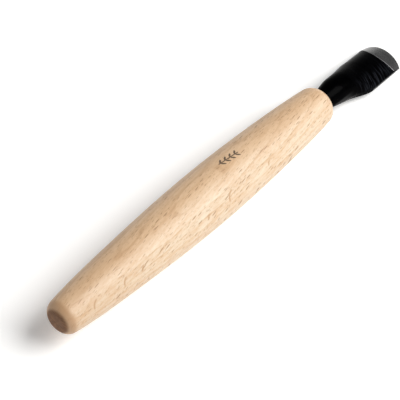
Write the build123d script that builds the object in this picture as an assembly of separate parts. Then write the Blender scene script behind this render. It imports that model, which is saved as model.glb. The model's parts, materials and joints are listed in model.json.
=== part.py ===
from build123d import *

import os
from math import atan2, cos, degrees, radians, sin, tan

# A block cutter's gouge: a turned beech handle with a forged, laminated blade glued into it.
#
# The tool is drawn along its own axis: A runs from the butt face (A = 0) to the cutting edge, Y
# runs across the blade and Z is up, with the blade's hollow facing down. It is then laid down as it
# comes to rest on a flat surface, rocked forward on the belly of its handle with the edge just
# clear. The origin is on that surface, under the middle of the tool's box, and +X points to the
# edge. Millimetres and grams.

# ---- driving dimensions -------------------------------------------------------------------------
EDGE_WIDTH = 18.0
HANDLE_LENGTH = 161.0
BELLY_RADIUS = 12.0
BUTT_ROUNDING = 4.8
FRONT_ROUNDING = 5.9

# Radius of the turned handle along its length, as shares of its length and of the belly's radius.
HANDLE_OUTLINE = (
    (0.000, 0.586),
    (0.125, 0.777),
    (0.304, 0.916),
    (0.503, 1.000),
    (0.702, 0.956),
    (0.881, 0.820),
    (1.000, 0.653),
)

BLADE_REACH = 40.2          # front of the handle to the corners of the edge
EDGE_DROP = 5.35            # how far those corners lie below the handle's axis
EDGE_LEAD = 1.6             # how far the middle of the edge runs ahead of its corners
HOLLOW_DEPTH = 3.4          # rise of the hollow over the width of the edge
BEVEL_ANGLE = 18.3          # degrees, ground on the outside

HARD_STEEL_SIDE = 0.55      # thickness of the hard steel at the blade's sides
HARD_STEEL_MIDDLE = 0.8
HARD_STEEL_BACK = 23.0      # where it starts, from the front of the handle

NECK_RADIUS = 4.6           # where it leaves the handle
NECK_SEAT = 6.0             # how far the round neck is let into the handle
TANG_LENGTH = 64.0          # behind the neck
TANG_ROOT = 5.4             # square section at the neck
TANG_END = 3.0
TANG_BORE_RADIUS = 4.0
TANG_BORE_SPARE = 3.0       # bore beyond the end of the tang

WOOD_DENSITY = 0.00072
STEEL_DENSITY = 0.00785
GLUE_DENSITY = 0.0012

FRONT = HANDLE_LENGTH
CORNERS_AT = FRONT + BLADE_REACH
NECK_BACK = FRONT - NECK_SEAT
TANG_BACK = NECK_BACK - TANG_LENGTH
BORE_BACK = TANG_BACK - TANG_BORE_SPARE
HALF_WIDTH = EDGE_WIDTH / 2
SIDE_FOOT = -EDGE_DROP
HOLLOW_TOP = SIDE_FOOT + HOLLOW_DEPTH

# The neck is a cone that swells from the handle, and its centre sinks a little: distance from the
# handle, radius, and height of the centre.
NECK_SECTIONS = ((0.0, NECK_RADIUS, 0.0), (6.5, 5.95, -0.3))

# Cross-sections of the forging where it flares from the neck to the full width: distance from the
# handle, half width and height of the side's top, crown, half width and height of the side's foot,
# how far the side bulges, and height of the middle of the underside.
FLARE_SECTIONS = (
    (10.0, 5.75, -3.1, 5.4, 4.2, -5.6, 0.20, -5.9),
    (13.0, 6.50, -2.5, 5.0, 5.3, SIDE_FOOT, 0.15, -5.0),
    (17.0, 7.70, -3.0, 4.0, 7.4, SIDE_FOOT, 0.05, -3.5),
    (21.0, HALF_WIDTH, -3.7, 2.9, HALF_WIDTH, SIDE_FOOT, 0.02, HOLLOW_TOP),
)

# From there the sides run parallel to beyond the edge, and only the outside comes down.
END_SECTION = (46.0, HALF_WIDTH, -4.4, -1.6, HALF_WIDTH, SIDE_FOOT, 0.02, HOLLOW_TOP)


# ---- helpers ------------------------------------------------------------------------------------
def across(along):
    """The plane square to the tool's axis at that distance: its x is Y and its y is Z."""
    return Plane(origin=(along, 0, 0), x_dir=(0, 1, 0), z_dir=(1, 0, 0))


def round_bar(start, end, radius):
    """A cylinder on the tool's axis from start to end."""
    return extrude(across(start) * Circle(radius), amount=end - start)


def arc_radius(half_width, rise):
    """Radius of the arc that rises that much over a chord of twice the half width."""
    return (half_width**2 + rise**2) / (2 * rise)


# ---- handle -------------------------------------------------------------------------------------
def handle_side():
    """The long curve of the turned handle, from butt to front, before its ends are rounded."""
    points = [(share * HANDLE_LENGTH, radius * BELLY_RADIUS) for share, radius in HANDLE_OUTLINE]
    return Spline(*points)


def handle_blank():
    """The turned spindle: the side curve revolved, with both ends rounded over."""
    side = handle_side()
    outline = side + Polyline(side @ 1, (FRONT, 0), (0, 0), side @ 0)
    face = make_face(outline)
    butt_corner = face.vertices().sort_by_distance(side @ 0)[0]
    face = fillet(butt_corner, BUTT_ROUNDING)
    front_corner = face.vertices().sort_by_distance(side @ 1)[0]
    face = fillet(front_corner, FRONT_ROUNDING)
    return revolve(Plane.XZ * face, Axis.X, 360)


def make_handle():
    """The spindle with a stepped hole: a seat that fits the neck, and a bore round the tang."""
    seat = round_bar(NECK_BACK, FRONT + 1, NECK_RADIUS)
    bore = round_bar(BORE_BACK, NECK_BACK, TANG_BORE_RADIUS)
    return handle_blank() - seat - bore


# ---- blade --------------------------------------------------------------------------------------
def blade_section(along, top_half, side_top, crown, foot_half, side_foot, bulge, under):
    """One cross-section of the forging: arched top, two slightly bulging sides, arched underside."""
    middle_half = (top_half + foot_half) / 2 + bulge
    middle = (side_top + side_foot) / 2
    top = ThreePointArc((top_half, side_top), (0, crown), (-top_half, side_top))
    left = ThreePointArc((-top_half, side_top), (-middle_half, middle), (-foot_half, side_foot))
    foot = ThreePointArc((-foot_half, side_foot), (0, under), (foot_half, side_foot))
    right = ThreePointArc((foot_half, side_foot), (middle_half, middle), (top_half, side_top))
    return across(FRONT + along) * make_face(top + left + foot + right)


def neck_section(along, radius, centre):
    """A round cross-section, split like the others so that they can be joined."""
    high, low = radians(25), radians(55)
    top_half, foot_half = radius * cos(high), radius * cos(low)
    side_top, side_foot = centre - radius * sin(high), centre - radius * sin(low)
    bulge = radius * cos((high + low) / 2) - (top_half + foot_half) / 2
    crown, under = centre + radius, centre - radius
    return blade_section(along, top_half, side_top, crown, foot_half, side_foot, bulge, under)


def make_forging():
    """The blade before grinding: coned neck, flare to full width, then straight."""
    neck = [neck_section(*section) for section in NECK_SECTIONS]
    flare = [neck[-1]] + [blade_section(*section) for section in FLARE_SECTIONS]
    straight = [flare[-1], blade_section(*END_SECTION)]
    return loft(neck, ruled=True) + loft(flare) + loft(straight, ruled=True)


def bevel_waste():
    """What grinding takes off the outside: all that lies above a round bar, slanted to the edge."""
    slope = tan(radians(BEVEL_ANGLE))
    rise = HOLLOW_DEPTH + EDGE_LEAD * slope
    radius = arc_radius(HALF_WIDTH, rise)
    reach = 16.0        # from the bar's start to the corners of the edge
    length = 28.0
    margin = 2.0        # how far the block clears the blade, or stays within the bar's ends
    start = CORNERS_AT - reach
    centre = SIDE_FOOT + reach * slope + rise - radius
    disc = across(start) * Pos(0, centre) * Circle(radius)
    bar = extrude(disc, amount=length / cos(radians(BEVEL_ANGLE)), dir=(1, 0, -slope))
    low = SIDE_FOOT - margin
    high = BELLY_RADIUS
    block = Box(length - margin, EDGE_WIDTH + 2 * margin, high - low)
    return Pos(start + length / 2, 0, (low + high) / 2) * block - bar


def make_tang():
    """The square tang, tapering to its end."""
    root = across(NECK_BACK) * Rectangle(TANG_ROOT, TANG_ROOT)
    end = across(TANG_BACK) * Rectangle(TANG_END, TANG_END)
    return loft([end, root])


def make_blade():
    """The whole blade: ground gouge, neck and tang."""
    neck = round_bar(NECK_BACK, FRONT, NECK_RADIUS)
    return (make_forging() - bevel_waste()) + neck + make_tang()


def hard_steel_zone():
    """The space under the line of the forge weld, in the hollow of the blade."""
    rise = HOLLOW_DEPTH + HARD_STEEL_MIDDLE - HARD_STEEL_SIDE
    radius = arc_radius(HALF_WIDTH, rise)
    centre = HOLLOW_TOP + HARD_STEEL_MIDDLE - radius
    disc = across(FRONT + HARD_STEEL_BACK) * Pos(0, centre) * Circle(radius)
    return extrude(disc, amount=BLADE_REACH)


def make_glue():
    """The glue that fills the bore round the tang."""
    return round_bar(BORE_BACK, NECK_BACK, TANG_BORE_RADIUS) - make_tang()


# ---- the tool at rest ---------------------------------------------------------------------------
def centre_of_gravity(weighed):
    """Distance of the tool's centre of gravity from the butt, from pairs of piece and density."""
    mass = sum(piece.volume * density for piece, density in weighed)
    moment = sum(
        piece.center(CenterOf.MASS).X * piece.volume * density for piece, density in weighed
    )
    return moment / mass


def rest_angle(gravity_at):
    """Dip of the axis, in degrees, when the belly touches the surface nearest to that point."""
    side = handle_side()
    touch = side.closest_points(Vertex(gravity_at, 0, 0))[0]
    along = side.tangent_at(touch)
    return degrees(atan2(-along.Y, along.X))


def resting_place(solids, dip):
    """Turns the edge down by the dip, then puts the origin under the middle of the box."""
    turned = Rot(0, dip, 0)
    box = Compound(children=[turned * solid for solid in solids]).bounding_box()
    middle = box.center()
    return Pos(-middle.X, -middle.Y, -box.min.Z) * turned


blade = make_blade()
zone = hard_steel_zone()
pieces = {
    "handle": make_handle(),
    "blade_body": blade - zone,
    "cutting_steel": blade & zone,
    "tang_glue": make_glue(),
}
densities = (WOOD_DENSITY, STEEL_DENSITY, STEEL_DENSITY, GLUE_DENSITY)
gravity_at = centre_of_gravity(list(zip(pieces.values(), densities)))
place = resting_place(list(pieces.values()), rest_angle(gravity_at))

os.makedirs("parts", exist_ok=True)
for name, piece in pieces.items():
    export_step(place * piece, f"parts/{name}.step")
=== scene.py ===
import json
from math import atan2, cos, pi, radians, sin, tan

import bmesh
import bpy
import numpy as np
from mathutils import Matrix, Vector


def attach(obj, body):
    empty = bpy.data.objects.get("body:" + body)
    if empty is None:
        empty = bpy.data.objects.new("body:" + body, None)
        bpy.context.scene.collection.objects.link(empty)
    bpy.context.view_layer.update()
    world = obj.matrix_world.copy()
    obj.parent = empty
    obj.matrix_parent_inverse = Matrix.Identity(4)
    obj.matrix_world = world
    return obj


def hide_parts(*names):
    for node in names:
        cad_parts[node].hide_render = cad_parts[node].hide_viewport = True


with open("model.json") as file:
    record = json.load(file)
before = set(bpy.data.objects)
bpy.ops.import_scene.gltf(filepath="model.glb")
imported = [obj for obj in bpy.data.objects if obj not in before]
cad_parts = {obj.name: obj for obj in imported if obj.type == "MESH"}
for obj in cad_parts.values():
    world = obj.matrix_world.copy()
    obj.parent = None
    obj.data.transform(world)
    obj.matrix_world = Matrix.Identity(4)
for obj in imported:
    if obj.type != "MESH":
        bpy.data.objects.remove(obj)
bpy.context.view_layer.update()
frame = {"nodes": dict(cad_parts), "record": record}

# ---- handle -------------------------------------------------------------------------------------
# One turned piece of pale beech, sanded and left almost matt, with a stepped hole in its front for
# the neck and tang. The butt is cut square across, so its end grain shows darker.
HANDLE_LENGTH = 161.0
BELLY = 12.0
STATIONS = np.array((0.000, 0.125, 0.304, 0.503, 0.702, 0.881, 1.000))
SWELL = np.array((0.586, 0.777, 0.916, 1.000, 0.956, 0.820, 0.653))
BUTT_ROUNDING = 4.8
FRONT_ROUNDING = 5.9
SEAT_RADIUS = 4.6
SEAT_DEPTH = 6.0
SEAT_BACK = HANDLE_LENGTH - SEAT_DEPTH
BORE_RADIUS = 4.0
BORE_DEPTH = 73.0
BORE_BACK = HANDLE_LENGTH - BORE_DEPTH
MOUTH_CLEARANCE = 0.25
AROUND = 144

butt = next(mount for mount in frame["record"]["mounts"] if mount["name"] == "butt")
butt_at = Vector(butt["pos_m"])

# Left and right are meant looking from the butt towards the edge, so right is towards -Y.
tool_along = -Vector(butt["axis"]).normalized()
tool_across = Vector((0, 1, 0))
tool_up = tool_along.cross(tool_across)
tool_dip = atan2(-tool_along.z, tool_along.x)


def laid_down(along, across, up):
    """Tool millimetres to the frame's metres: butt + along, across and up times their directions."""
    places = np.stack(np.broadcast_arrays(along, across, up), axis=-1) / 1000
    return places @ np.array((tool_along, tool_across, tool_up)) + np.array(butt_at)


def skin(name, sheets, materials):
    """Closed shells from grids of points. Each grid's columns close on themselves, its first row is
    capped with a fan, and points that fall together are merged. A sheet is its points, the
    material number of each of its quads, and whether its last row is capped too."""
    made = bmesh.new()
    for points, finish, capped in sheets:
        rows, columns = points.shape[:2]
        index = np.arange(rows * columns).reshape(rows, columns)
        beside = np.roll(index, -1, axis=1)
        quads = np.stack((index[:-1], beside[:-1], beside[1:], index[1:]), -1).reshape(-1, 4)
        ends = [(index[0], beside[0], rows * columns)]
        flat = np.concatenate((points.reshape(-1, 3), points[0].mean(0)[None]))
        if capped:
            ends.append((beside[-1], index[-1], rows * columns + 1))
            flat = np.concatenate((flat, points[-1].mean(0)[None]))
        fans = [np.stack((b, a, np.full(columns, hub)), -1) for a, b, hub in ends]
        mesh = bpy.data.meshes.new(name)
        mesh.from_pydata(flat.tolist(), [], quads.tolist() + np.concatenate(fans).tolist())
        numbers = np.zeros(len(mesh.polygons), np.int32)
        numbers[:len(quads)] = finish.reshape(-1)
        mesh.polygons.foreach_set("material_index", numbers)
        made.from_mesh(mesh)
        bpy.data.meshes.remove(mesh)
    bmesh.ops.remove_doubles(made, verts=made.verts, dist=4e-7)
    bmesh.ops.recalc_face_normals(made, faces=made.faces)
    mesh = bpy.data.meshes.new(name)
    made.to_mesh(mesh)
    made.free()
    mesh.shade_smooth()
    mesh.set_sharp_from_angle(angle=radians(32))
    for material in materials:
        mesh.materials.append(material)
    piece = bpy.data.objects.new(name, mesh)
    bpy.context.collection.objects.link(piece)
    return piece


outline_curve = np.polyfit(STATIONS, SWELL, len(STATIONS) - 1)
outline_slope = np.polyder(outline_curve)


def side_radius(along):
    """Radius of the turned side: the smooth polynomial that passes through every station."""
    return BELLY * np.polyval(outline_curve, along / HANDLE_LENGTH)


def side_lean(along):
    """Angle between the side and the axis: the arc tangent of the outline's slope."""
    return np.arctan(np.polyval(outline_slope, along / HANDLE_LENGTH) * BELLY / HANDLE_LENGTH)


def rounded_end(face, rounding, inward):
    """Quarter-round between an end face and the side, from the face: a circle that touches both. The
    side leans, so the place where it is touched is found by stepping towards it eight times."""
    centre = face + inward * rounding
    touch = centre
    for _ in range(8):
        touch = centre - rounding * sin(side_lean(touch))
    lean = side_lean(touch)
    height = side_radius(touch) - rounding * cos(lean)
    turn = np.linspace(pi if inward > 0 else 0, pi / 2 + lean, 15)
    return centre + rounding * np.cos(turn), height + rounding * np.sin(turn), touch


def handle_profile():
    """Outline from the pole of the butt, along the side, over the front and down the hole."""
    butt_x, butt_r, first = rounded_end(0, BUTT_ROUNDING, 1)
    front_x, front_r, last = rounded_end(HANDLE_LENGTH, FRONT_ROUNDING, -1)
    side_x = np.linspace(first, last, 170)[1:-1]
    face_r = np.linspace(0, butt_r[0], 9)[:-1]
    proud = front_r > SEAT_RADIUS + MOUTH_CLEARANCE
    step = BORE_RADIUS - SEAT_RADIUS
    inward = np.array((0.58, 0.80, 1.2, 3.5, SEAT_DEPTH, SEAT_DEPTH, 40.0, BORE_DEPTH))
    mouth_x = HANDLE_LENGTH - inward
    mouth_r = SEAT_RADIUS + np.array((0.20, 0.07, 0, 0, 0, step, step, step))
    hub_r = np.linspace(BORE_RADIUS, 0, 4)[1:]
    along = np.concatenate((face_r * 0, butt_x, side_x, front_x[proud][::-1], mouth_x,
                            np.full(3, BORE_BACK)))
    radius = np.concatenate((face_r, butt_r, side_radius(side_x), front_r[proud][::-1], mouth_r,
                             hub_r))
    return along, radius


def turned(profile, around):
    """A profile spun about the tool's axis: radius times cosine and sine of the angle."""
    along, radius = profile
    angle = np.arange(around) * 2 * pi / around
    return laid_down(along[:, None], np.outer(radius, np.sin(angle)), np.outer(radius, np.cos(angle)))


class Wire:
    """A socket in a material or in the surround. Python's + - * and abs on it add Math nodes, and
    node() adds any other."""

    def __init__(self, tree, socket=None):
        self.tree = tree
        self.socket = socket

    def node(self, kind, settings=(), inputs=(), out=0):
        """Adds a node: first its settings, then a value or a link for each input, and wraps out."""
        made = self.tree.nodes.new("ShaderNode" + kind)
        for key, value in dict(settings).items():
            setattr(made, key, value)
        for key, value in dict(inputs).items():
            if isinstance(value, Wire):
                self.tree.links.new(value.socket, made.inputs[key])
            else:
                made.inputs[key].default_value = value
        return Wire(self.tree, made.outputs[out])

    def maths(self, operation, first, second=0.0):
        return self.node("Math", {"operation": operation}, {0: first, 1: second})

    def __add__(self, other):
        return self.maths("ADD", self, other)

    def __radd__(self, other):
        return self.maths("ADD", other, self)

    def __sub__(self, other):
        return self.maths("SUBTRACT", self, other)

    def __rsub__(self, other):
        return self.maths("SUBTRACT", other, self)

    def __mul__(self, other):
        return self.maths("MULTIPLY", self, other)

    def __abs__(self):
        return self.maths("ABSOLUTE", self)

    def rise(self, low, high):
        """0 below low, 1 above high, and a smooth step between; the other way round if low > high."""
        return self.node("MapRange", {"interpolation_type": "SMOOTHSTEP"},
                         {"Value": self, "From Min": low, "From Max": high})

    def tint(self, off, on):
        """A colour: off where this value is 0 and on where it is 1."""
        off = off if isinstance(off, Wire) else (*off, 1)
        on = on if isinstance(on, Wire) else (*on, 1)
        return self.node("Mix", {"data_type": "RGBA"}, {0: self, 6: off, 7: on}, 2)

    def dot(self, direction):
        """How far this vector reaches in that direction."""
        return self.node("VectorMath", {"operation": "DOT_PRODUCT"}, {0: self, 1: direction}, 1)

    def stretched(self, along, across, up):
        """This vector with each of its parts multiplied by that much."""
        return self.node("VectorMath", {"operation": "MULTIPLY"}, {0: self, 1: (along, across, up)})

    def cloud(self, detail=2.0, scale=1.0, rough=0.5):
        """Soft noise from 0 to 1 at this vector, with features about 1 / scale long."""
        return self.node("TexNoise", (), {"Vector": self, "Scale": scale, "Detail": detail,
                                          "Roughness": rough})

    def send(self, name):
        """Feeds this value into the finish's input of that name."""
        finish = self.tree.nodes["Principled BSDF"]
        self.tree.links.new(self.socket, finish.inputs[name])


def new_finish(name, **fixed):
    """A material with its uniform settings on the Principled node, and a wire to build it with."""
    material = bpy.data.materials.new(name)
    material.use_nodes = True
    finish = material.node_tree.nodes["Principled BSDF"]
    for key, value in fixed.items():
        finish.inputs[key.replace("_", " ")].default_value = value
    return material, Wire(material.node_tree)


def tool_grid(wire, roll=0.0, slope=0.0):
    """Tool millimetres at each point of the surface, rolled about the axis, then turned by a slope."""
    turn = (Matrix.Rotation(tool_dip, 3, "Y") @ Matrix.Rotation(radians(roll), 3, "X")
            @ Matrix.Rotation(radians(slope), 3, "Z")).to_euler()
    place = wire.node("TexCoord", (), (), "Object")
    return wire.node("Mapping", {"vector_type": "TEXTURE"},
                     {"Vector": place, "Location": butt_at, "Rotation": turn,
                      "Scale": (0.001, 0.001, 0.001)})


def ray_flecks(grain, length, width, depth, fill, share, crowding):
    """Ends of the wood's rays: a long thin spot round the centre of each cell of a Voronoi pattern,
    kept in a share of the cells that is larger where the crowding is high, so that the spots
    stand in loose rows."""
    cells = grain.stretched(1 / length, 1 / width, 1 / depth)
    cell = cells.node("TexVoronoi", {"feature": "F1"}, {"Vector": cells, "Scale": 1.0})
    pick = cells.node("TexVoronoi", {"feature": "F1"}, {"Vector": cells, "Scale": 1.0}, "Color")
    lot = pick.dot((0.4, 0.35, 0.25)) - (crowding - 0.5) * 1.3
    return cell.rise(fill, fill * 0.5) * lot.rise(share + 0.05, share - 0.05)


TIP_AHEAD = 0.79
TIP_ASIDE = 0.61


def ring_tip(place, side, along, radius):
    """The arched end of a growth ring: a soft line where the distance from a centre, ahead of the
    tip and to one side, is the radius, kept only on the side that faces back and up."""
    ahead = place.dot((1, 0, 0)) - (along + TIP_AHEAD * radius)
    across = side + TIP_ASIDE * radius
    distance = place.maths("SQRT", ahead * ahead + across * across)
    facing = across * TIP_ASIDE - ahead * TIP_AHEAD - distance * 0.62
    return abs(distance - radius).rise(0.60, 0.10) * facing.rise(0.0, 0.7)


LEAF_STEP = 2.6
LEAF_REACH = 1.9
SPRIG_HALF = 5.4


def sprig_mark(place, roll, along):
    """A small generic printed sprig: a stem along the handle with pairs of slanted leaves. A leaf
    repeats at every step, and its half width is a parabola of the distance out from the stem."""
    angle = radians(roll)
    ahead = place.dot((1, 0, 0)) - along
    side = place.dot((0, cos(angle), sin(angle))) + ahead * 0.10
    out = abs(side)
    slanted = ahead - out * 0.8 + 20.6
    step = abs(place.maths("MODULO", slanted, LEAF_STEP) - LEAF_STEP / 2)
    half_leaf = out * (LEAF_REACH - out) * 0.66
    leaf = (half_leaf - step).rise(-0.05, 0.12)
    stem = out.rise(0.32, 0.18)
    both = place.maths("MAXIMUM", leaf, stem)
    inside = abs(ahead - 0.6).rise(SPRIG_HALF, SPRIG_HALF - 0.3)
    upper = place.dot((0, -sin(angle), cos(angle))).rise(0.0, 1.0)
    return both * inside * upper


# The first colour below is a painted sheen: the paler tint of the handle's lit right side.
BEECH_PALE_PAINTED_SHEEN = (0.660, 0.565, 0.438)
BEECH_GOLD = (0.695, 0.495, 0.320)
BEECH_WARM = (0.540, 0.340, 0.190)
BEECH_FLECK = (0.270, 0.140, 0.065)
BEECH_LINE = (0.430, 0.255, 0.135)
END_GRAIN = (0.096, 0.035, 0.010)
END_PALE = (0.225, 0.102, 0.036)
MARK_INK = (0.030, 0.021, 0.018)
GRAIN_ROLL = 15.0
GRAIN_SLOPE = 8.7
MARK_ROLL = -2.9
MARK_AT = 100.6
BUTT_FADE = (62.0, -8.0)
BUTT_RIM = (4.9, 2.6)
BUTT_FACE = (1.25, 0.25)

# Tips of growth rings: roll about the axis in degrees, distance from the butt and radius.
RING_TIPS = ((58, 114.5, 1.7), (56, 90.0, 3.4), (63, 76.7, 1.9), (60, 39.4, 2.1), (58, 29.7, 2.6),
             (57, 13.6, 2.8))


def beech_finish():
    """Pale wood with growth rings, ray flecks, pores and a printed sprig, more golden on its left
    and painted paler on its lit right as a sheen. It darkens towards the butt, most of all on the
    flat end grain."""
    material, wire = new_finish("beech", Specular_IOR_Level=0.45)
    place = tool_grid(wire)
    grain = tool_grid(wire, GRAIN_ROLL, GRAIN_SLOPE)
    wander = grain.stretched(0.02, 0.10, 0.10).cloud(1.0)
    depth = grain.dot((0, 0.18, 1)) + wander * 5.0
    year = wire.maths("FRACT", depth * 0.40)
    ring = year.rise(0.0, 0.90) * year.rise(1.0, 0.95)
    ring_line = year.rise(0.80, 0.94) * year.rise(1.0, 0.965)
    streak = grain.stretched(0.035, 0.9, 0.9).cloud(3.0)
    patch = grain.stretched(0.05, 0.16, 0.16).cloud(2.0)
    rows = place.stretched(0.016, 0.50, 0.50).cloud(2.0)
    mottle = grain.stretched(0.30, 0.95, 0.95).cloud(2.0)
    pores = grain.stretched(0.50, 3.0, 3.0).cloud(3.0, 1.0, 0.65)
    tone = (ring * 0.20 + streak.rise(0.30, 0.72) * 0.34 + patch.rise(0.35, 0.70) * 0.17
            + mottle.rise(0.36, 0.68) * 0.17)
    # Painted sheen: the right side, which faces the light, is tinted paler than the left.
    painted_sheen_side = place.dot((0, 1, 0.2)).rise(2.0, -9.0)
    wood = (tone + pores.rise(0.35, 0.75) * 0.32 - 0.07).tint(
        painted_sheen_side.tint(BEECH_GOLD, BEECH_PALE_PAINTED_SHEEN), BEECH_WARM)
    bold = ray_flecks(grain, 7.6, 0.92, 8.0, 0.25, 0.43, rows)
    fine = ray_flecks(grain.stretched(1.0, 1.07, 1.13), 4.6, 0.62, 5.0, 0.27, 0.56, rows)
    faint = ray_flecks(grain.stretched(1.1, 0.93, 0.9), 2.4, 0.50, 3.0, 0.30, 0.60, mottle)
    wood = (ring_line * streak.rise(0.35, 0.6) * 0.35).tint(wood, BEECH_LINE)
    wood = (faint * 0.34).tint(wood, BEECH_FLECK)
    wood = (fine * 0.58).tint(wood, BEECH_FLECK)
    wood = (bold * 0.74).tint(wood, BEECH_FLECK)
    tips = 0.0
    for roll, along, radius in RING_TIPS:
        angle = radians(roll)
        side = place.dot((0, cos(angle), sin(angle)))
        front = place.dot((0, -sin(angle), cos(angle))).rise(0.0, 2.0)
        tips = tips + ring_tip(place, side, along, radius) * front
    wood = (tips * 0.85).tint(wood, BEECH_LINE)
    ink = sprig_mark(place, MARK_ROLL, MARK_AT) * pores.rise(0.95, 0.55)
    wood = (ink * 0.88).tint(wood, MARK_INK)
    from_butt = place.dot((1, 0, 0))
    darker_end = from_butt.rise(*BUTT_FADE) * 0.30 + from_butt.rise(*BUTT_RIM) * 0.55
    wood = darker_end.tint(wood, BEECH_LINE)
    flat_end = from_butt.rise(*BUTT_FACE)
    rings_end = wire.maths("FRACT", depth * 1.1).rise(0.1, 0.9) * 0.30
    mottled = place.cloud(3.0, 0.7).rise(0.3, 0.8) * 0.6
    wood = (flat_end * 0.95).tint(wood, (rings_end + mottled).tint(END_GRAIN, END_PALE))
    wood.send("Base Color")
    (0.40 + pores * 0.16 - bold * 0.05 + flat_end * 0.20).send("Roughness")
    relief = pores * 0.5 - bold * 0.5 - fine * 0.35 + streak * 0.2
    wire.node("Bump", (), {"Strength": 0.35, "Distance": 0.00006, "Height": relief}).send("Normal")
    return material


profile = handle_profile()
handle_points = turned(profile, AROUND)
plain = np.zeros((len(profile[0]) - 1, AROUND), np.int32)
handle = skin("handle_wood", [(handle_points, plain, True)], [beech_finish()])
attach(handle, "root")
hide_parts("handle")

# ---- forged blade -------------------------------------------------------------------------------
# The neck, the flare and the back of the gouge are one forging of soft iron, black with scale. Its
# outside is ground to a bevel at the edge, and the square tang behind it sits in the handle.
HALF_WIDTH = 9.0
CORNERS_AT = HANDLE_LENGTH + 40.2
SIDE_FOOT = -5.35
HOLLOW_RISE = 3.4
EDGE_LEAD = 1.6
BEVEL_SLOPE = tan(radians(18.3))
HOLLOW_TOP = SIDE_FOOT + HOLLOW_RISE
WELD_SIDE = 0.55
WELD_MIDDLE = 0.8
WELD_RISE = HOLLOW_RISE + WELD_MIDDLE - WELD_SIDE
STEEL_START = 23.0
STEEL_BACK = HANDLE_LENGTH + STEEL_START
ARRIS_HALF = 0.12
SCALE, BEVEL, ARRIS = 0, 1, 2
CORNER_ROUNDING = 0.28
BLEND_REACH = 1.5
NECK_FLAT_TOP = radians(25)
NECK_FLAT_FOOT = radians(55)


def round_station(along, radius, centre):
    """A round section, written with the same seven numbers as the others: the side's top and foot
    are the points of the circle at two angles below its middle."""
    top, foot = radius * cos(NECK_FLAT_TOP), radius * cos(NECK_FLAT_FOOT)
    top_z, foot_z = centre - radius * sin(NECK_FLAT_TOP), centre - radius * sin(NECK_FLAT_FOOT)
    return along, top, top_z, centre + radius, foot, foot_z, centre - radius


# Distance from the handle, half width and height of the side's top, crown, half width and height of
# the side's foot, and height of the middle of the underside.
FORGING = np.array((
    round_station(-SEAT_DEPTH, SEAT_RADIUS, 0.0),
    round_station(0.0, SEAT_RADIUS, 0.0),
    round_station(6.5, 5.95, -0.3),
    (10.0, 5.75, -3.1, 5.4, 4.2, -5.6, -5.9),
    (13.0, 6.50, -2.5, 5.0, 5.3, SIDE_FOOT, -5.0),
    (17.0, 7.70, -3.0, 4.0, 7.4, SIDE_FOOT, -3.5),
    (21.0, HALF_WIDTH, -3.7, 2.9, HALF_WIDTH, SIDE_FOOT, HOLLOW_TOP),
    (46.0, HALF_WIDTH, -4.4, -1.6, HALF_WIDTH, SIDE_FOOT, HOLLOW_TOP),
))


def forging(along, column):
    """One of the section's numbers along the blade: straight between the stations, then averaged
    over 3 mm so that the changes of direction are rounded."""
    offsets = np.linspace(-BLEND_REACH, BLEND_REACH, 13)
    away = np.asarray(along) - HANDLE_LENGTH
    spread = np.interp(away[..., None] + offsets, FORGING[:, 0], FORGING[:, column])
    return spread.mean(-1)


def arc_across(share, half_width, rise):
    """Sideways place on a circular arc of that rise over its chord, even in angle: with the arc's
    half angle q = 2 atan(rise / half width), half width * sin(q t) / sin q at a share t."""
    half_angle = 2 * np.arctan(np.maximum(np.abs(rise), 1e-6) / half_width)
    return half_width * np.sin(half_angle * share) / np.sin(half_angle)


def arc_height(share, half_width, rise):
    """Height on that arc, even in angle: rise * (cos(q t) - cos q) / (1 - cos q)."""
    half_angle = 2 * np.arctan(np.maximum(np.abs(rise), 1e-6) / half_width)
    return rise * (np.cos(half_angle * share) - np.cos(half_angle)) / (1 - np.cos(half_angle))


def over_width(across, rise):
    """Height of an arc of that rise over the full width of the blade, at a place across it: with
    radius = (half width squared + rise squared) / (2 rise), it is the root of radius squared less
    place squared, less radius, plus rise."""
    radius = (HALF_WIDTH**2 + rise**2) / (2 * rise)
    return np.sqrt(radius**2 - np.minimum(np.abs(across), HALF_WIDTH) ** 2) - radius + rise


BEVEL_RISE = HOLLOW_RISE + EDGE_LEAD * BEVEL_SLOPE


def bevel_height(along, across):
    """The ground bevel: an arc across the blade that slopes down evenly to the edge."""
    return SIDE_FOOT + (CORNERS_AT - along) * BEVEL_SLOPE + over_width(across, BEVEL_RISE)


def weld_height(across):
    """The line of the forge weld: an arc across the blade, the side's thickness above its foot."""
    return SIDE_FOOT + WELD_SIDE + over_width(across, WELD_RISE)


def edge_along(across):
    """Where the bevel meets the hollow: the corners' place, plus the bevel's height of arc less the
    hollow's, over the bevel's slope."""
    gap = over_width(across, BEVEL_RISE) - over_width(across, HOLLOW_RISE)
    return CORNERS_AT + gap / BEVEL_SLOPE


def weld_along(across):
    """Where the bevel meets the line of the forge weld: the same with the weld's arc, which stands
    the side's thickness higher."""
    gap = over_width(across, BEVEL_RISE) - over_width(across, WELD_RISE) - WELD_SIDE
    return CORNERS_AT + gap / BEVEL_SLOPE


def heel_along(share):
    """Where the bevel begins, for each share of the width: found between 25 and 40 mm from the
    handle by halving that interval thirty times."""
    low = np.full_like(share, HANDLE_LENGTH + 25.0)
    high = np.full_like(share, HANDLE_LENGTH + 40.0)
    for _ in range(30):
        middle = (low + high) / 2
        top_half = forging(middle, 1)
        side_top = forging(middle, 2)
        crown = forging(middle, 3)
        across = arc_across(share, top_half, crown - side_top)
        height = side_top + arc_height(share, top_half, crown - side_top)
        above = height > bevel_height(middle, across)
        high = np.where(above, middle, high)
        low = np.where(above, low, middle)
    return (low + high) / 2


TOP_COLUMNS = 61
SIDE_COLUMNS = 7


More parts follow.
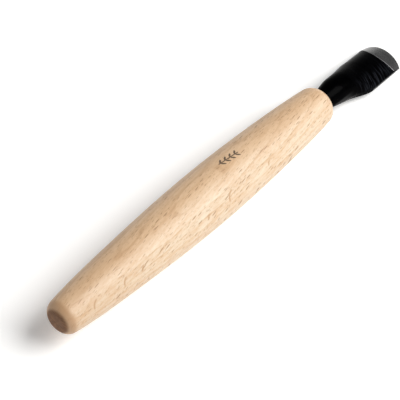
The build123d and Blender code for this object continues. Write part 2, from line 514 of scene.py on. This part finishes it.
def blade_loop(top, foot, rounding):
    """A ring of points round the blade from the points of its top, right to left, and of its foot.
    Each corner becomes a parabola that starts one rounding before it, ends one after it and has
    the corner as its control point; the rounding is held to 0.3 of the side's height. Evenly
    spaced points fill the side between two corners."""
    rings = []
    reach = (np.arange(1, 4) / 4.0)[None, :, None]
    for near, far, inner_near, inner_far in (
            (top[:, -1:], foot[:, -1:], top[:, -2:-1], foot[:, -2:-1]),
            (foot[:, :1], top[:, :1], foot[:, 1:2], top[:, 1:2])):
        tall = np.linalg.norm(far - near, axis=-1, keepdims=True) + 1e-9
        cut = np.minimum(rounding, 0.3 * tall)
        down = (far - near) / tall
        start = near + down * cut
        finish = far - down * cut
        lead_in = inner_near - near
        lead_in = lead_in / (np.linalg.norm(lead_in, axis=-1, keepdims=True) + 1e-9)
        lead_out = inner_far - far
        lead_out = lead_out / (np.linalg.norm(lead_out, axis=-1, keepdims=True) + 1e-9)
        first = near + lead_in * cut
        last = far + lead_out * cut
        into = (1 - reach) ** 2 * first + 2 * reach * (1 - reach) * near + reach**2 * start
        away = (1 - reach) ** 2 * finish + 2 * reach * (1 - reach) * far + reach**2 * last
        between = start + (finish - start) * np.linspace(0, 1, SIDE_COLUMNS)[None, :, None]
        rings.append((first, into, between, away, last))
    left, right = rings
    return np.concatenate((
        right[4], top[:, 1:-1], left[0], *left[1:4], left[4],
        foot[:, ::-1][:, 1:-1], right[0], *right[1:4]), axis=1)


def forged_rows():
    """Top and foot of the forging, row by row from the neck's back to the weld line at the front.
    Rows are spread so that one falls on each side of the heel, for a crisp narrow arris."""
    share = np.linspace(-1, 1, TOP_COLUMNS)
    heel = heel_along(share)
    ahead = np.concatenate((
        np.linspace(-SEAT_DEPTH, 0, 5), np.linspace(0.4, STEEL_START - 0.4, 90), (STEEL_START,)))
    back = np.repeat((HANDLE_LENGTH + ahead)[:, None], TOP_COLUMNS, axis=1)
    run = np.linspace(0, 1, 24)[1:, None]
    middle = STEEL_BACK + (heel - ARRIS_HALF - STEEL_BACK) * run
    half = forging(heel, 1)
    rise = forging(heel, 3) - forging(heel, 2)
    weld = weld_along(arc_across(share, half, rise))
    ground_from = heel + ARRIS_HALF
    front = ground_from + (weld - ground_from) * np.linspace(0, 1, 16)[:, None]
    return share, np.concatenate((back, back[-1:], middle, front)), len(back), len(front)


def forged_shell():
    """The forging as one grid: its top follows the section's arch, or the bevel in front of the
    heel; its foot follows the hollow, and in front of the hard steel's back the weld. The quads
    of the top in front of the heel are bevel, with one row of arris between bevel and scale."""
    share, along, back_rows, front_rows = forged_rows()
    top_half, side_top, crown, foot_half, side_foot, under = (
        forging(along, column) for column in range(1, 7))
    across = arc_across(share, top_half, crown - side_top)
    arched = side_top + arc_height(share, top_half, crown - side_top)
    ground = np.arange(len(along)) >= len(along) - front_rows
    top_z = np.where(ground[:, None], bevel_height(along, across), arched)
    foot_y = arc_across(share, foot_half, under - side_foot)
    foot_z = side_foot + arc_height(share, foot_half, under - side_foot)
    welded = np.arange(len(along)) >= back_rows
    weld_z = weld_height(across)
    foot_y = np.where(welded[:, None], across, foot_y)
    foot_z = np.where(welded[:, None], weld_z, foot_z)
    top = np.stack((along, across, top_z), -1)
    foot = np.stack((along, foot_y, foot_z), -1)
    foot[-1] = top[-1]
    loop = blade_loop(top, foot, CORNER_ROUNDING)
    finish = np.full((len(loop) - 1, loop.shape[1]), SCALE, np.int32)
    finish[-front_rows:, :TOP_COLUMNS + 1] = BEVEL
    finish[-front_rows, :TOP_COLUMNS + 1] = ARRIS
    return laid_down(loop[..., 0], loop[..., 1], loop[..., 2]), finish, False


BAR_AROUND = 32
BAR_ROWS = 12


def square_bar(start, end, start_side, end_side):
    """A square bar that tapers evenly from start to end. Around it the reach is that of a square,
    1 / the larger of |cos| and |sin|. No point falls on a corner, so the corners come out
    slightly broken."""
    turn = np.arange(BAR_AROUND) * 2 * pi / BAR_AROUND + pi / BAR_AROUND
    reach = 1 / np.maximum(np.abs(np.cos(turn)), np.abs(np.sin(turn)))
    along = np.linspace(start, end, BAR_ROWS)[:, None]
    half = np.linspace(start_side, end_side, BAR_ROWS)[:, None] / 2
    points = laid_down(along, half * reach * np.cos(turn), half * reach * np.sin(turn))
    return points, np.full((BAR_ROWS - 1, BAR_AROUND), SCALE, np.int32), True


def forged_finish():
    """Black forge scale: a cold near-black with shallow streaks across the blade, clearest on its
    right where they carry a painted sheen, and a painted reflection of the table, a little greyer,
    along its left side and low on the right of the neck."""
    material, wire = new_finish("forge_scale", Specular_IOR_Level=0.009)
    place = tool_grid(wire)
    cloudy = place.cloud(3.0, 0.22)
    speckle = place.cloud(3.0, 2.2, 0.6)
    streaks = place.stretched(1.9, 0.10, 0.22).cloud(4.0, 1.0, 0.62)
    # Painted sheen: the streaks are real marks, shown mostly on the right flank, which faces the
    # light.
    painted_sheen_flank = place.dot((0, 1, 0)).rise(-3.0, -7.0)
    flat_part = place.dot((1, 0, 0)).rise(HANDLE_LENGTH + 12.0, HANDLE_LENGTH + 22.0)
    marks_and_painted_sheen = streaks.rise(0.46, 0.72) * (0.08 + painted_sheen_flank * 0.92) * flat_part
    scale_and_painted_light = cloudy.rise(0.35, 0.7).tint((0.0002, 0.0002, 0.0003), (0.0007, 0.0007, 0.0009))
    scale_and_painted_light = (marks_and_painted_sheen * 0.80).tint(scale_and_painted_light, (0.017, 0.019, 0.024))
    # Painted reflection: greyer strips low on the right of the neck and along the left side stand in
    # for the table reflected in the steel.
    neck_part = place.dot((1, 0, 0)).rise(HANDLE_LENGTH + 13.0, HANDLE_LENGTH + 4.0)
    painted_reflection = place.dot((0, -0.80, -0.60)).rise(4.2, 5.0) * neck_part
    painted_reflection = painted_reflection + (place.dot((-0.21, 1, 0)) + 0.21 * HANDLE_LENGTH).rise(3.3, 4.8) * 0.5
    scale_and_painted_light = (painted_reflection * 0.7).tint(scale_and_painted_light, (0.040, 0.040, 0.041))
    scale_and_painted_light.send("Base Color")
    (0.17 + cloudy * 0.06 + speckle * 0.05 + marks_and_painted_sheen * 0.14).send("Roughness")
    relief = streaks * 0.8 + speckle * 0.25
    wire.node("Bump", (), {"Strength": 0.30, "Distance": 0.00010, "Height": relief}).send("Normal")
    return material


def ground_finish(name, left, right):
    """Fine satin grey from the stone: metal with thin scratches that run across the blade, with
    painted light and shade that make it as many times brighter or darker on its left and its right
    as the two numbers say."""
    material, wire = new_finish(name, Metallic=1.0)
    place = tool_grid(wire)
    scratches = place.stretched(9.0, 0.35, 0.35).cloud(3.0, 1.0, 0.7)
    cloudy = place.cloud(2.0, 0.35)
    # Painted light and shade: the bevel's left and right each get their own brightness, for how the
    # light falls on them.
    painted_light_side = place.dot((0, 1, 0)).rise(2.0, -4.0)
    greys_with_painted_light = [painted_light_side.tint((grey * left,) * 3, (grey * right,) * 3) for grey in (0.112, 0.170)]
    (scratches * 0.7 + cloudy * 0.3).rise(0.3, 0.7).tint(*greys_with_painted_light).send("Base Color")
    (0.18 + scratches * 0.11).send("Roughness")
    wire.node("Bump", (), {"Strength": 0.22, "Distance": 0.00003, "Height": scratches}).send("Normal")
    return material


TANG_END = 3.0
TANG_ROOT = 5.4
BORE_SPARE = 3.0
INTO_NECK = 0.4
tang = square_bar(BORE_BACK + BORE_SPARE, SEAT_BACK + INTO_NECK, TANG_END, TANG_ROOT)
# The numbers after each name paint light and shade on the bevel's left and right.
blade_finishes = [forged_finish(), ground_finish("ground_iron", 0.52, 0.78),
                  # Painted highlight: the arris is made five times as bright on its right, where light
                  # glints along the heel.
                  ground_finish("arris_painted_highlight", 1.1, 5.0)]
blade = skin("forged_blade", [forged_shell(), tang], blade_finishes)
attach(blade, "root")
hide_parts("blade_body")

# ---- cutting steel ------------------------------------------------------------------------------
# A thin plate of hard steel, forge-welded into the hollow of the blade. It carries the edge, and it
# shows as a brighter band at the front of the bevel and a line along the sides.
PLATE_ROUNDING = 0.07


def steel_shell():
    """The plate: its top is the weld, then the bevel down to the edge, and its foot the hollow."""
    share = np.linspace(-1, 1, TOP_COLUMNS)
    half = np.full(TOP_COLUMNS, HALF_WIDTH)
    across = arc_across(share, half, WELD_RISE)
    weld = weld_along(across)
    back = STEEL_BACK + (weld - STEEL_BACK) * np.linspace(0, 1, 18)[:, None]
    front = weld + (edge_along(across) - weld) * np.linspace(0, 1, 10)[1:, None]
    along = np.concatenate((back, front))
    weld_z = weld_height(across)
    top_z = np.minimum(weld_z, bevel_height(along, across))
    foot_z = SIDE_FOOT + over_width(across, HOLLOW_RISE) + along * 0
    top_z[-1] = foot_z[-1]
    top = np.stack((along, across + along * 0, top_z), -1)
    foot = np.stack((along, across + along * 0, foot_z), -1)
    loop = blade_loop(top, foot, PLATE_ROUNDING)
    finish = np.zeros((len(loop) - 1, loop.shape[1]), np.int32)
    return laid_down(loop[..., 0], loop[..., 1], loop[..., 2]), finish, False


# The two numbers are painted light and shade: the steel's bevel is darker on its left and lighter on
# its right.
steel = skin("cutting_edge", [steel_shell()], [ground_finish("ground_steel", 0.55, 0.84)])
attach(steel, "root")
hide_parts("cutting_steel")

# ---- glue round the tang ------------------------------------------------------------------------
# Set amber glue that fills the bore round the tang and holds the blade in the handle. It is run in
# before the tang is pushed home. It is out of sight, and keeps its own shape.


def glue_finish():
    """Clear-edged amber with a little cloudiness from air and sawdust."""
    material, wire = new_finish("set_glue", Specular_IOR_Level=0.5)
    place = tool_grid(wire)
    cloudy = place.cloud(3.0, 0.6)
    cloudy.rise(0.3, 0.7).tint((0.56, 0.40, 0.18), (0.72, 0.60, 0.38)).send("Base Color")
    (0.30 + cloudy * 0.2).send("Roughness")
    return material


glue = frame["nodes"]["tang_glue"]
set_glue = glue_finish()
for socket in glue.material_slots:
    socket.material = set_glue

# ---- table, lights and camera -------------------------------------------------------------------
# A plain pale table under soft studio light: a large window-like light in front on the right, a
# weaker one behind on the left, and a dim surround that is darkest overhead.
TABLE_HALF = 4.0
floor_mesh = bpy.data.meshes.new("table_top")
table_corners = [(TABLE_HALF * x, TABLE_HALF * y, 0) for x, y in ((-1, -1), (1, -1), (1, 1), (-1, 1))]
floor_mesh.from_pydata(table_corners, [], [(0, 1, 2, 3)])
table_top = bpy.data.objects.new("table_top", floor_mesh)
bpy.context.collection.objects.link(table_top)
paper, wire = new_finish("white_paper", Specular_IOR_Level=0.1, Roughness=0.8,
                         Emission_Color=(1, 1, 1, 1), Emission_Strength=0.165)
tool_grid(wire).cloud(2.0, 0.01).tint((0.93, 0.93, 0.93), (0.95, 0.95, 0.95)).send("Base Color")
floor_mesh.materials.append(paper)


def soft_light(name, towards, distance, size, power, colour=(1, 1, 1)):
    """A square light panel at that distance in that direction, facing the tool."""
    lamp = bpy.data.lights.new(name, "AREA")
    lamp.shape = "SQUARE"
    lamp.size = size
    lamp.energy = power
    lamp.color = colour
    panel = bpy.data.objects.new(name, lamp)
    direction = Vector(towards).normalized()
    panel.location = direction * distance
    panel.rotation_euler = direction.to_track_quat("Z", "Y").to_euler()
    bpy.context.collection.objects.link(panel)


soft_light("key_light", (0.29, -0.53, 0.69), 1.6, 1.1, 34.5, (1.0, 0.99, 0.97))
soft_light("fill_light", (-0.55, 0.75, 0.50), 1.8, 1.0, 4.0, (0.97, 0.985, 1.0))

world = bpy.data.worlds.new("studio_surround")
bpy.context.scene.world = world
world.use_nodes = True
sky = Wire(world.node_tree)
height = sky.node("TexCoord", (), (), "Generated").dot((0, 0, 1))
shade = height.rise(0.05, 0.75).tint((0.64, 0.64, 0.64), (0.08, 0.08, 0.08))
world.node_tree.links.new(shade.socket, world.node_tree.nodes["Background"].inputs["Color"])
world.node_tree.nodes["Background"].inputs["Strength"].default_value = 1.0

VIEW_TURN = radians(40.93)
VIEW_DOWN = radians(49.65)
VIEW_DISTANCE = 1.177
LENS_MM = 265.5
SENSOR_MM = 36.0
VIEW_AIM = Vector((-0.01417, 0.00275, 0.00946))
looking = Vector((cos(VIEW_TURN) * cos(VIEW_DOWN), sin(VIEW_TURN) * cos(VIEW_DOWN), -sin(VIEW_DOWN)))
lens = bpy.data.cameras.new("camera")
lens.sensor_width = SENSOR_MM
lens.lens = LENS_MM
camera = bpy.data.objects.new("camera", lens)
camera.location = VIEW_AIM - looking * VIEW_DISTANCE
camera.rotation_euler = looking.to_track_quat("-Z", "Y").to_euler()
bpy.context.collection.objects.link(camera)
bpy.context.scene.camera = camera
bpy.context.scene.view_settings.view_transform = "Standard"
